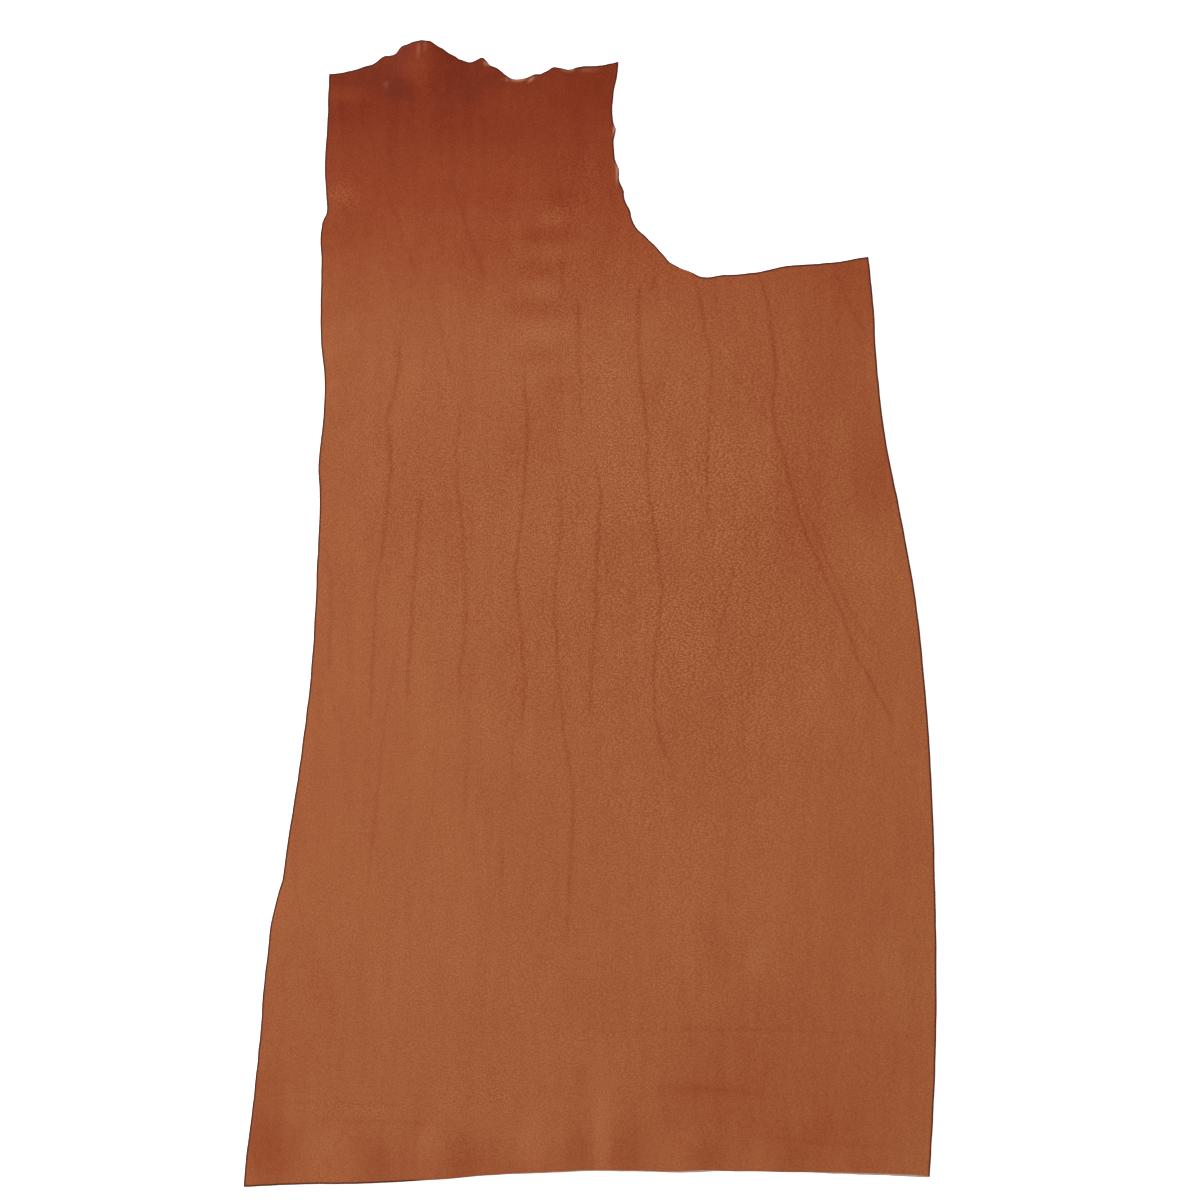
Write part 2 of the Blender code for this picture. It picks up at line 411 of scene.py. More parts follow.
def soft_curve(marks, count):
    """count + 1 points, evenly spaced along a smooth curve through the marks, in metres.

    Between two marks it is a cubic. Its slope at a mark is the mean of the slopes of the two straight
    lines that meet there, the shorter line counting for more.
    """
    marks = np.array(marks) * MM
    gaps = np.diff(marks, axis=0)
    lengths = np.linalg.norm(gaps, axis=1)[:, None]
    slopes = gaps / lengths
    middle = slopes[:-1] * lengths[1:] + slopes[1:] * lengths[:-1]
    middle /= lengths[1:] + lengths[:-1]
    slopes = np.vstack([slopes[:1], middle, slopes[-1:]])
    t = np.linspace(0, 1, CURVE_STEPS, endpoint=False)[None, :, None]
    along = (
        (2 * t**3 - 3 * t**2 + 1) * marks[:-1, None]
        + (t**3 - 2 * t**2 + t) * (lengths * slopes[:-1])[:, None]
        + (3 * t**2 - 2 * t**3) * marks[1:, None]
        + (t**3 - t**2) * (lengths * slopes[1:])[:, None]
    )
    along = np.vstack([along.reshape(-1, 2), marks[-1:]])
    reached = np.concatenate([[0], np.cumsum(np.linalg.norm(np.diff(along, axis=0), axis=1))])
    stations = np.linspace(0, reached[-1], count + 1)
    return np.column_stack([np.interp(stations, reached, along[:, k]) for k in (0, 1)])


def frayed(curve, fray):
    """The curve with its points, all but the end ones, moved sideways: by random offsets a pitch
    apart along it, and between those by the straight blend of the two.
    """
    steps = np.diff(curve, axis=0)
    reached = np.concatenate([[0], np.cumsum(np.linalg.norm(steps, axis=1))])
    places = np.arange(0, reached[-1] + fray.pitch * MM, fray.pitch * MM)
    offsets = np.random.default_rng(fray.seed).uniform(-1, 1, len(places)) * fray.depth * MM
    offset = np.interp(reached, places, offsets)
    offset[[0, -1]] = 0
    tangent = np.gradient(curve, axis=0)
    tangent /= np.linalg.norm(tangent, axis=1)[:, None]
    return curve + offset[:, None] * np.column_stack([tangent[:, 1], -tangent[:, 0]])


def patch(bottom, top, left, right):
    """A grid of points filled in between four curves that meet at its corners: the straight blend
    of bottom and top, plus that of left and right, less that of the four corners.
    """
    u = np.linspace(0, 1, len(bottom))[None, :, None]
    v = np.linspace(0, 1, len(left))[:, None, None]
    return (
        (1 - v) * bottom[None]
        + v * top[None]
        + (1 - u) * left[:, None]
        + u * right[:, None]
        - (1 - u) * (1 - v) * bottom[0]
        - u * (1 - v) * bottom[-1]
        - (1 - u) * v * top[0]
        - u * v * top[-1]
    )


def oval(points, cloud):
    """(1 - r²)², where r is the distance from the oval's middle as a share of its reach."""
    r_squared = (
        ((points[:, 0] / MM - cloud.across) / cloud.reach_across) ** 2
        + ((points[:, 1] / MM - cloud.along) / cloud.reach_along) ** 2
    )
    return np.clip(1 - r_squared, 0, None) ** 2


def soft_step(low, high, values):
    """0 below low, 1 above high, and 3t² - 2t³ between them."""
    t = np.clip((values - low) / (high - low), 0, 1)
    return 3 * t**2 - 2 * t**3


# The sheet hangs together as one grid in the shape of an L: the body up to the foot of the notch,
# and above it the neck, on the first columns only.
split = next(i for i, mark in enumerate(SPINE_EDGE) if mark.along > SPINE_LEVEL.along)
low_marks = SPINE_EDGE[:split] + [SPINE_LEVEL]
high_marks = [SPINE_LEVEL] + SPINE_EDGE[split:]
cut = frayed(soft_curve(KNIFE_CUT, COLUMNS), CUT_FRAY)
belly = frayed(soft_curve(BELLY_EDGE[::-1], BODY_ROWS), BELLY_FRAY)
shoulder = frayed(soft_curve(SHOULDER_EDGE, COLUMNS - NECK_COLUMNS), SHOULDER_FRAY)
neck_side = frayed(soft_curve(NECK_SIDE[::-1], NECK_ROWS), NECK_SIDE_FRAY)
neck = frayed(soft_curve(NECK_EDGE, NECK_COLUMNS), NECK_FRAY)
spine_low = frayed(soft_curve(low_marks, BODY_ROWS), LOW_SPINE_FRAY)
spine_high = frayed(soft_curve(high_marks, NECK_ROWS), HIGH_SPINE_FRAY)
seam = np.linspace(spine_low[-1], shoulder[0], NECK_COLUMNS + 1)

slants = np.array(CUT_SLANTS) * MM
overhang = np.interp(cut[:, 0], slants[:, 0], slants[:, 1])
grain_cut = cut + np.column_stack([np.zeros(len(cut)), overhang])
body_grid = patch(grain_cut, np.vstack([seam, shoulder[1:]]), spine_low, belly)
neck_grid = patch(seam, neck, spine_high, neck_side)

body_ids = np.arange(body_grid.shape[0] * body_grid.shape[1]).reshape(body_grid.shape[:2])
neck_ids = body_ids.size + np.arange(NECK_ROWS * (NECK_COLUMNS + 1)).reshape(NECK_ROWS, -1)
neck_ids = np.vstack([body_ids[-1, : NECK_COLUMNS + 1], neck_ids])
flat = np.vstack([body_grid.reshape(-1, 2), neck_grid[1:].reshape(-1, 2)])
rim_ids = np.concatenate(
    [
        body_ids[0, :-1],
        body_ids[:-1, -1],
        body_ids[-1, :NECK_COLUMNS:-1],
        neck_ids[:-1, -1],
        neck_ids[-1, :0:-1],
        neck_ids[:0:-1, 0],
        body_ids[:0:-1, 0],
    ]
)
outline = flat[rim_ids].copy()
outline[: len(cut)] = cut
middle = (outline.min(axis=0) + outline.max(axis=0)) / 2
cad_middle = (np.array(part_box("hide")[0]) + np.array(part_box("hide")[1]))[:2] / 2
flat += cad_middle - middle
outline += cad_middle - middle


def lie(points):
    """How far the flesh side is off the ground: the highest of the ripples there, plus the puckers."""
    height = np.zeros(len(points))
    for ripple in RIPPLES:
        height = np.maximum(height, ripple.lift * MM * oval(points, ripple))
    for pucker in PUCKERS:
        height += pucker.lift * MM * oval(points, pucker)
    return height


WRINKLE_DEPTH = 0.16 * MM
WRINKLE_WIDTH = 2.8  # millimetres from its middle to where it is a third as deep
REACH = 12.0  # of a wrinkle's pull on the skin beside it, in millimetres
FADE_PAST, FADE_BEFORE = 8, 16  # its end marks, in millimetres: a wrinkle dies away between them
LONG_SWAY, SHORT_SWAY = (0.5, 6.1), (0.3, 2.9)  # how far, and the wave's length over 2π: millimetres


def wrinkle_at(points, wrinkles):
    """For each point, the distance in millimetres to the nearest of these wrinkles, below 0 on one
    side of it, and that wrinkle's depth there, fading towards its ends and far from it.

    A wrinkle is a line through its marks, taken as a distance across for each place along, or the
    other way about if it lies more across the sheet, and swayed by two short waves.
    """
    gap = np.full(len(points), REACH)
    depth = np.zeros(len(points))
    for share, marks in wrinkles:
        marks = np.array(marks, dtype=float)
        side, run = np.argsort(np.abs(marks[-1] - marks[0]))
        marks = marks[np.argsort(marks[:, run])]
        off, way = points[:, side] / MM, points[:, run] / MM
        sway = LONG_SWAY[0] * np.sin(way / LONG_SWAY[1] + marks[0, 0])
        sway += SHORT_SWAY[0] * np.sin(way / SHORT_SWAY[1] + marks[0, 1])
        beside = off - np.interp(way, marks[:, run], marks[:, side]) - sway
        start, stop = marks[0, run], marks[-1, run]
        begun = soft_step(start - FADE_PAST, start + FADE_BEFORE, way)
        ended = soft_step(stop - FADE_BEFORE, stop + FADE_PAST, way)
        ends = begun * (1 - ended)
        near = (np.abs(beside) < np.abs(gap)) & (ends > 0)
        fade = 1 - soft_step(REACH / 2, REACH, np.abs(beside))
        gap[near] = beside[near]
        depth[near] = (share * ends * fade)[near]
    return gap, depth


# Neighbours go to different sets, so that no point lies between two wrinkles of one set.
wrinkle_sets = [wrinkle_at(flat, GROWTH_WRINKLES[0::2]), wrinkle_at(flat, GROWTH_WRINKLES[1::2])]
trough = np.zeros(len(flat))
for gap, depth in wrinkle_sets:
    trough += WRINKLE_DEPTH * depth * np.exp(-((gap / WRINKLE_WIDTH) ** 2))
grain = np.column_stack([flat, lie(flat) + THICKNESS - trough])

# The cut edge: rings round the rim from the grain side down to the flesh side, bulging a little, as
# soft leather does. Each is a share of the way out to the outline, stands out a little from there,
# and lies below the grain side, in millimetres.
Ring = namedtuple("Ring", "share bulge down")
RINGS = [
    Ring(0.04, 0.25, 0.10),
    Ring(0.12, 0.38, 0.35),
    Ring(0.45, 0.40, 1.00),
    Ring(0.92, 0.30, 1.70),
    Ring(1.00, 0.00, 2.00),
]
rim = grain[rim_ids]
tangent = np.roll(rim, -1, axis=0)[:, :2] - np.roll(rim, 1, axis=0)[:, :2]
tangent /= np.linalg.norm(tangent, axis=1)[:, None]
outward = np.column_stack([tangent[:, 1], -tangent[:, 0]])
rings = []
for ring in RINGS:
    place = rim[:, :2] + (outline - rim[:, :2]) * ring.share + outward * ring.bulge * MM
    rings.append(np.column_stack([place, lie(outline) + THICKNESS - ring.down * MM]))

# The flesh side: every fourth row and column, its rim drawn in a little to meet the finer ring.
FLESH_MARGIN = 2.5 * MM
flesh_body = body_ids[::FLESH_STEP, ::FLESH_STEP]
flesh_neck = neck_ids[::FLESH_STEP, ::FLESH_STEP]
kept, flesh_ids = np.unique(
    np.concatenate([flesh_body.ravel(), flesh_neck.ravel()]), return_inverse=True
)
flesh_flat = flat.copy()
flesh_flat[rim_ids] = outline - outward * FLESH_MARGIN
flesh_flat = flesh_flat[kept]
flesh = np.column_stack([flesh_flat, lie(flesh_flat)])


def cells(ids):
    """The four corners of each cell of a grid of vertex numbers, anticlockwise from above."""
    return np.column_stack(
        [ids[:-1, :-1].ravel(), ids[:-1, 1:].ravel(), ids[1:, 1:].ravel(), ids[1:, :-1].ravel()]
    )


ring_ids = [rim_ids]
for k in range(len(RINGS)):
    ring_ids.append(len(grain) + k * len(rim) + np.arange(len(rim)))
flesh_start = len(grain) + len(RINGS) * len(rim)
flesh_body = flesh_start + flesh_ids[: flesh_body.size].reshape(flesh_body.shape)
flesh_neck = flesh_start + flesh_ids[flesh_body.size :].reshape(flesh_neck.shape)

grain_faces = np.vstack([cells(body_ids), cells(neck_ids)])
flesh_faces = np.vstack([cells(flesh_body), cells(flesh_neck)])[:, ::-1]
edge_faces = []
for above, below in zip(ring_ids, ring_ids[1:]):
    edge_faces.append(np.column_stack([above, below, np.roll(below, -1), np.roll(above, -1)]))
edge_faces = np.vstack(edge_faces)
fine = ring_ids[-1]
coarse = flesh_start + np.searchsorted(kept, rim_ids[::FLESH_STEP])
fine_runs = [np.roll(fine, -k)[::FLESH_STEP] for k in range(FLESH_STEP + 1)]
margin_faces = np.column_stack([np.roll(coarse, -1), *fine_runs[::-1], coarse])

mesh = bpy.data.meshes.new("hide_sheet")
mesh.from_pydata(
    np.vstack([grain, *rings, flesh]),
    [],
    [*grain_faces.tolist(), *edge_faces.tolist(), *flesh_faces.tolist(), *margin_faces.tolist()],
)
mesh.update()
hide = bpy.data.objects.new("hide_sheet", mesh)
bpy.context.scene.collection.objects.link(hide)
mesh.shade_smooth()

GRAIN_SIDE, CUT_EDGE, FLESH_SIDE = 0, 1, 2
finish = np.full(len(mesh.polygons), FLESH_SIDE, dtype=np.int32)
finish[: len(grain_faces)] = GRAIN_SIDE
finish[len(grain_faces) : len(grain_faces) + len(edge_faces)] = CUT_EDGE
mesh.polygons.foreach_set("material_index", finish)

# The layout that its finishes are baked to: the grain side as it lies with the cut edge unrolled
# round it, and beside it, smaller, the flesh side as seen from below.
GRAIN_SCALE, FLESH_SCALE = 0.805, 0.50  # shares of the layout's side to a metre
GRAIN_AT, FLESH_AT = (0.305, 0.5), (0.80, 0.5)  # their middles in it
unrolled = [rim[:, :2] + outward * ring.down * MM for ring in RINGS]
from_above = np.vstack([flat, *unrolled, flesh_flat]) * GRAIN_SCALE + GRAIN_AT
from_below = np.vstack([flat, *(ring[:, :2] for ring in rings), flesh_flat])
from_below = from_below * (-FLESH_SCALE, FLESH_SCALE) + FLESH_AT
corners = np.empty(len(mesh.loops), dtype=np.int32)
mesh.loops.foreach_get("vertex_index", corners)
sides = np.empty(len(mesh.polygons), dtype=np.int32)
mesh.polygons.foreach_get("loop_total", sides)
under = np.repeat(finish == FLESH_SIDE, sides)[:, None]
layout = np.where(under, from_below[corners], from_above[corners])
mesh.uv_layers.new(name="OFBake").data.foreach_set("uv", layout.astype(np.float32).ravel())


def set_attribute(name, grain_values, rim_values=0.0):
    """A number at each vertex: one for each on the grain side, the rim's own on its rings, and 0
    on the flesh side.
    """
    values = np.zeros(len(mesh.vertices), dtype=np.float32)
    values[: len(grain)] = grain_values
    values[len(grain) : flesh_start] = np.tile(np.broadcast_to(rim_values, len(rim)), len(RINGS))
    mesh.attributes.new(name, "FLOAT", "POINT").data.foreach_set("value", values)


# Distances from the rim are measured along the grid's own lines, which meet it nearly squarely.
def from_ends(grid, top_from=0):
    """The distance from each point of a grid to the nearest end of its row and column; a column
    left of top_from has no end at the top.
    """
    distances = [grid - grid[:, :1], grid - grid[:, -1:], grid - grid[-1:]]
    left, right, top = (np.linalg.norm(d, axis=2) for d in distances)
    top[:, :top_from] = np.inf
    return np.minimum(np.minimum(left, right), top)


# A slant wider than the first shows some of the fresh cut, and one wider than the second all of it.
FRESH_FROM, FRESH_FULL = 0.3, 1.2  # millimetres
# The grain side is darkened near the rim, but not along a fresh cut.
UNDARKENED = 3 * MM  # counted on to the distance from a fresh cut, whose rim isn't burnt dark

from_cut = np.linalg.norm(body_grid - body_grid[:1], axis=2)
slant = np.interp(body_grid[..., 0], slants[:, 0], slants[:, 1]) / MM
from_cut += UNDARKENED * soft_step(FRESH_FROM, FRESH_FULL, slant)
rim_gap = np.concatenate(
    [
        np.minimum(from_ends(body_grid, NECK_COLUMNS + 1), from_cut).ravel(),
        from_ends(neck_grid)[1:].ravel(),
    ]
)

# How deep the dye is, from 0 for tan to 1 for the deepest brown: in the field, and how much more
# the neck took, rising between the two places along the sheet, in millimetres.
FIELD_DYE, NECK_DYE = 0.11, 0.84
NECK_DYE_FROM, NECK_DYE_FULL = 250, 620
FIELD_PEBBLING = 0.35  # how full the pebbles are where no patch adds to them: 1 is full

darkness = FIELD_DYE + NECK_DYE * soft_step(NECK_DYE_FROM, NECK_DYE_FULL, flat[:, 1] / MM)
set_attribute("rim_gap", rim_gap / MM)
for name, (gap, depth) in zip(("odd", "even"), wrinkle_sets):
    set_attribute(name + "_wrinkle_gap", gap)
    set_attribute(name + "_wrinkle_depth", depth)
# The ovals add the skin's dye clouds, and also painted shade and sheen on the puckers and ripples.
set_attribute("darkness", darkness + sum(c.amount * oval(flat, c) for c in DYE_AND_SHADE_CLOUDS))
pebbled = FIELD_PEBBLING + sum(c.amount * oval(flat, c) for c in PEBBLED)
set_attribute("pebbling", np.clip(pebbled, 0, 1))
# Paleness: the pale marks, one of them a painted highlight, and on the rim the fresh cut.
pale_marked = sum(c.amount * oval(flat, c) for c in PALE_MARKS)
fresh_cut = np.linalg.norm(outline - rim[:, :2], axis=1) / MM
fresh_cut = soft_step(FRESH_FROM, FRESH_FULL, fresh_cut)
set_attribute("paleness", pale_marked, np.maximum(pale_marked[rim_ids], fresh_cut))


def linear(code):
    """An sRGB hex colour as linear red, green, blue and alpha."""
    parts = np.array([int(code[i : i + 2], 16) for i in (1, 3, 5)]) / 255
    parts = np.where(parts <= 0.04045, parts / 12.92, ((parts + 0.055) / 1.055) ** 2.4)
    return (*parts.tolist(), 1.0)


def add(tree, kind, settings=None, **feeds):
    """Adds a node. Settings are its own properties; feeds are its inputs, named with _ for a space
    or numbered as in _0, each a plain value or the output that is linked to it.
    """
    made = tree.nodes.new("ShaderNode" + kind)
    for name, value in (settings or {}).items():
        setattr(made, name, value)
    for name, value in feeds.items():
        number = name[1:]
        socket = made.inputs[int(number) if number.isdigit() else name.replace("_", " ")]
        if isinstance(value, bpy.types.NodeSocket):
            tree.links.new(value, socket)
        else:
            socket.default_value = value
    return made


def new_finish(name):
    """A material of this name, with its node tree and shader."""
    material = bpy.data.materials.new(name)
    material.use_nodes = True
    return material, material.node_tree, material.node_tree.nodes["Principled BSDF"]


# Grain side: aniline-dyed vegetable-tanned leather, milled and waxed. The dye is see-through, so the
# skin's own clouds show, reddest and darkest at the neck. The pebbles stand up two tenths of a
# millimetre and are rubbed paler on top, with darker dye in the furrows between them; their paler,
# whiter tops are also a painted highlight, and their darker furrows also painted shade. Their pitch is
# the finest that shows from as far off as the camera.
TAN = linear("#864C2B")
RED_BROWN = linear("#753217")
DEEP = linear("#65220A")
DEEPEST = linear("#5C1E09")
PALE = linear("#B08062")
DARK_RIM = linear("#45190D")
RED_BROWN_AT, DEEP_AT = 0.53, 0.88  # depths of dye, where TAN is at 0 and DEEPEST at 1
# The dyed colour is darkened in the furrows, partly as dye and partly as painted shade, and made paler
# and whiter on the crowns, partly as wear and partly as a painted highlight.
FURROW_DYE_AND_SHADE = (0.86, 0.76, 0.68, 1.0)  # shares of the dyed colour
CROWN_WEAR_AND_HIGHLIGHT = (1.44, 1.86, 2.14, 1.0)
PEBBLE_PITCH = 2.1  # millimetres
PEBBLE_HEIGHT = 0.22 * MM
SCATTER = 0.85  # of the pebbles' places: 0 is a square lattice, 1 is wholly scattered
DRAWN_OUT, DRAWN_TURN = (0.6, 1.15, 1), np.radians(8)  # how fine the long pebbles are, and their turn
PEBBLE_EDGE, PEBBLE_TOP = 0.55, 0.05  # pitches from its middle to where it starts to rise, and is full
BAND_REACH, CORE_REACH = 5.0, 2.2  # of a wrinkle's dark band and of its line, in millimetres
BAND_DYE, CORE_DYE = 0.13, 0.08  # how much deeper the dye is there
CORE_DEPTH = 0.06 * MM
RIM_DARK_FROM, RIM_DARK_FULL = 2.1, 0.9  # millimetres from the rim
PEBBLE_ROUGHNESS, FURROW_ROUGHNESS = 0.46, 0.60
WAX_GLOSS = 0.1

# How far apart the swells of each noise lie, in millimetres.
DRIFT_PITCH, LAY_PITCH, PATCH_PITCH, BREAK_PITCH = 45, 50, 16, 12
CLOUD_PITCH, MOTTLE_PITCH = 120, 8
FIBRE_PITCH, FIBRE_LENGTH = 11, 75
DRIFT = 9.0  # millimetres that the pebbles' rows stray by
CLOUD_SWING, FIBRE_SWING, MOTTLE_SWING = 0.05, 0.05, 0.045  # of the depth of dye, either way
NOISE = {"From_Min": 0.3, "From_Max": 0.7}  # the span that most of a noise's values lie in

OFF_AXIS = (137.3, 413.9, 517.3)  # keeps the noises' own axes away from the middle of the sheet

material, tree, shader = new_finish("aniline vegetable-tanned leather, grain side")
place = add(tree, "TexCoord").outputs["Object"]
mm = add(tree, "VectorMath", {"operation": "MULTIPLY_ADD"}, _0=place).outputs[0]
mm.node.inputs[1].default_value = (1 / MM,) * 3
mm.node.inputs[2].default_value = OFF_AXIS
drift = add(tree, "TexNoise", Vector=mm, Scale=1 / DRIFT_PITCH, Detail=1.0).outputs["Color"]
drift = add(tree, "VectorMath", {"operation": "SCALE"}, _0=drift, Scale=DRIFT).outputs[0]
skin = add(tree, "VectorMath", {"operation": "ADD"}, _0=mm, _1=drift).outputs[0]

# Towards the belly the pebbles are drawn out longer across the sheet.
flat_cells = {"voronoi_dimensions": "2D"}
round_cells = add(tree, "TexVoronoi", flat_cells, Vector=skin, Scale=1 / PEBBLE_PITCH)
round_cells.inputs["Randomness"].default_value = SCATTER
drawn = add(tree, "Mapping", Vector=skin, Rotation=(0, 0, DRAWN_TURN), Scale=DRAWN_OUT)
long_cells = add(tree, "TexVoronoi", flat_cells, Vector=drawn.outputs[0], Scale=1 / PEBBLE_PITCH)
long_cells.inputs["Randomness"].default_value = SCATTER
across = add(tree, "SeparateXYZ", _0=place).outputs[0]
lay = add(tree, "MapRange", Value=across, From_Min=-0.26, From_Max=0.33).outputs[0]
sway = add(tree, "TexNoise", Vector=mm, Scale=1 / LAY_PITCH, Detail=1.0).outputs["Fac"]
lay = add(tree, "Math", {"operation": "ADD"}, _0=lay, _1=sway).outputs[0]
lay = add(tree, "MapRange", Value=lay, From_Min=0.95, From_Max=1.1).outputs[0]
cell = add(
    tree, "Mix", Factor=lay, A=round_cells.outputs["Distance"], B=long_cells.outputs["Distance"]
).outputs[0]
luck = add(tree, "Mix", {"data_type": "RGBA"}, Factor=lay).outputs[2]
tree.links.new(round_cells.outputs["Color"], luck.node.inputs[6])
tree.links.new(long_cells.outputs["Color"], luck.node.inputs[7])
luck = add(tree, "SeparateXYZ", _0=luck).outputs[0]
pebble = add(tree, "MapRange", {"interpolation_type": "SMOOTHSTEP"}, Value=cell)
pebble.inputs["From Min"].default_value = PEBBLE_EDGE
pebble.inputs["From Max"].default_value = PEBBLE_TOP
pebble = pebble.outputs[0]
pebbling = add(tree, "Attribute", {"attribute_name": "pebbling"}).outputs["Fac"]
patches = add(tree, "TexNoise", Vector=mm, Scale=1 / PATCH_PITCH, Detail=2.0).outputs["Fac"]
patches = add(tree, "MapRange", Value=patches, From_Min=0.3, From_Max=0.65, To_Min=0.82).outputs[0]
pebbling = add(tree, "Math", {"operation": "MULTIPLY"}, _0=pebbling, _1=patches).outputs[0]

# A wrinkle is a dark band with a broken line along its middle.
wrinkled = []
for name in ("odd", "even"):
    gap_here = add(tree, "Attribute", {"attribute_name": name + "_wrinkle_gap"}).outputs["Fac"]
    depth_here = add(tree, "Attribute", {"attribute_name": name + "_wrinkle_depth"}).outputs["Fac"]
    beside = add(tree, "Math", {"operation": "ABSOLUTE"}, _0=gap_here).outputs[0]
    for reach in (BAND_REACH, CORE_REACH):
        line = add(tree, "MapRange", {"interpolation_type": "SMOOTHSTEP"}, Value=beside)
        line.inputs["From Min"].default_value = reach
        line.inputs["From Max"].default_value = 0.0
        line = add(tree, "Math", {"operation": "MULTIPLY"}, _0=line.outputs[0], _1=depth_here)
        wrinkled.append(line.outputs[0])
band = add(tree, "Math", {"operation": "MAXIMUM"}, _0=wrinkled[0], _1=wrinkled[2]).outputs[0]
line = add(tree, "Math", {"operation": "MAXIMUM"}, _0=wrinkled[1], _1=wrinkled[3]).outputs[0]
broken = add(tree, "TexNoise", Vector=mm, Scale=1 / BREAK_PITCH, Detail=2.0).outputs["Fac"]
broken = add(tree, "MapRange", Value=broken, From_Min=0.35, From_Max=0.6, To_Min=0.7).outputs[0]
line = add(tree, "Math", {"operation": "MULTIPLY"}, _0=line, _1=broken).outputs[0]

# The depth of the dye, with painted shade and sheen: the skin's clouds, among them the ovals that paint
# the shade and sheen of the puckers and ripples, its combed fibres and a fine mottle, and the wrinkles.
dye_and_shade = add(tree, "Attribute", {"attribute_name": "darkness"}).outputs["Fac"]
clouds = add(tree, "TexNoise", Vector=mm, Scale=1 / CLOUD_PITCH, Detail=3.0).outputs["Fac"]
clouds = add(tree, "MapRange", Value=clouds, **NOISE, To_Min=-CLOUD_SWING, To_Max=CLOUD_SWING)
combed = add(tree, "Mapping", Vector=mm, Scale=(1 / FIBRE_PITCH, 1 / FIBRE_LENGTH, 1)).outputs[0]
fibres = add(tree, "TexNoise", Vector=combed, Scale=1.0, Detail=3.0, Roughness=0.6).outputs["Fac"]
fibres = add(tree, "MapRange", Value=fibres, **NOISE, To_Min=-FIBRE_SWING, To_Max=FIBRE_SWING)
mottle = add(
    tree, "TexNoise", Vector=mm, Scale=1 / MOTTLE_PITCH, Detail=3.0, Roughness=0.6
).outputs["Fac"]
mottle = add(tree, "MapRange", Value=mottle, **NOISE, To_Min=-MOTTLE_SWING, To_Max=MOTTLE_SWING)
stained = add(tree, "Math", {"operation": "MULTIPLY"}, _0=band, _1=BAND_DYE).outputs[0]
inked = add(tree, "Math", {"operation": "MULTIPLY"}, _0=line, _1=CORE_DYE).outputs[0]
for part in (clouds.outputs[0], fibres.outputs[0], mottle.outputs[0], stained, inked):
    dye_and_shade = add(tree, "Math", {"operation": "ADD"}, _0=dye_and_shade, _1=part).outputs[0]
depths = add(tree, "ValToRGB", Fac=dye_and_shade)
depths.color_ramp.elements[0].color = TAN
depths.color_ramp.elements.new(RED_BROWN_AT).color = RED_BROWN
depths.color_ramp.elements.new(DEEP_AT).color = DEEP
depths.color_ramp.elements[3].color = DEEPEST
shade = depths.outputs[0]
# Some pebbles are rubbed more than others. Their crowns are coloured paler and whiter, as wear and as a
# painted highlight, and the furrows darker, as dye and as painted shade.
crown_wear_and_highlight = add(tree, "MapRange", Value=luck, To_Min=0.6, To_Max=1.15).outputs[0]
crown_wear_and_highlight = add(tree, "Math", {"operation": "MULTIPLY"}, _0=pebble, _1=crown_wear_and_highlight).outputs[0]
pebble_tint_and_light = add(tree, "Mix", {"data_type": "RGBA"}, Factor=crown_wear_and_highlight, _6=FURROW_DYE_AND_SHADE, _7=CROWN_WEAR_AND_HIGHLIGHT)
pebble_tint_and_light = add(
    tree, "Mix", {"data_type": "RGBA"}, Factor=pebbling, _6=(1, 1, 1, 1), _7=pebble_tint_and_light.outputs[2]
).outputs[2]
shade = add(tree, "VectorMath", {"operation": "MULTIPLY"}, _0=shade, _1=pebble_tint_and_light).outputs[0]

# The grain side darkens to nearly black-brown within a millimetre or two of the rim.
near_rim = add(tree, "Attribute", {"attribute_name": "rim_gap"}).outputs["Fac"]
rim_darkening = add(tree, "MapRange", Value=near_rim, From_Min=RIM_DARK_FROM, From_Max=RIM_DARK_FULL).outputs[0]
shade = add(tree, "Mix", {"data_type": "RGBA"}, Factor=rim_darkening, _6=shade, _7=DARK_RIM).outputs[2]
paleness = add(tree, "Attribute", {"attribute_name": "paleness"}).outputs["Fac"]
shade = add(tree, "Mix", {"data_type": "RGBA"}, Factor=paleness, _6=shade, _7=PALE).outputs[2]
tree.links.new(shade, shader.inputs["Base Color"])

satin = add(tree, "MapRange", Value=pebble, To_Min=FURROW_ROUGHNESS, To_Max=PEBBLE_ROUGHNESS)
tree.links.new(satin.outputs[0], shader.inputs["Roughness"])
shader.inputs["Specular IOR Level"].default_value = WAX_GLOSS
standing = add(tree, "Math", {"operation": "MULTIPLY"}, _0=pebble, _1=pebbling).outputs[0]
standing = add(tree, "Math", {"operation": "MULTIPLY"}, _0=standing, _1=PEBBLE_HEIGHT).outputs[0]
sunk = add(tree, "Math", {"operation": "MULTIPLY"}, _0=line, _1=-CORE_DEPTH).outputs[0]
relief = add(tree, "Math", {"operation": "ADD"}, _0=standing, _1=sunk).outputs[0]
bump = add(tree, "Bump", Height=relief, Distance=1.0, Strength=1.0).outputs[0]
tree.links.new(bump, shader.inputs["Normal"])
mesh.materials.append(material)

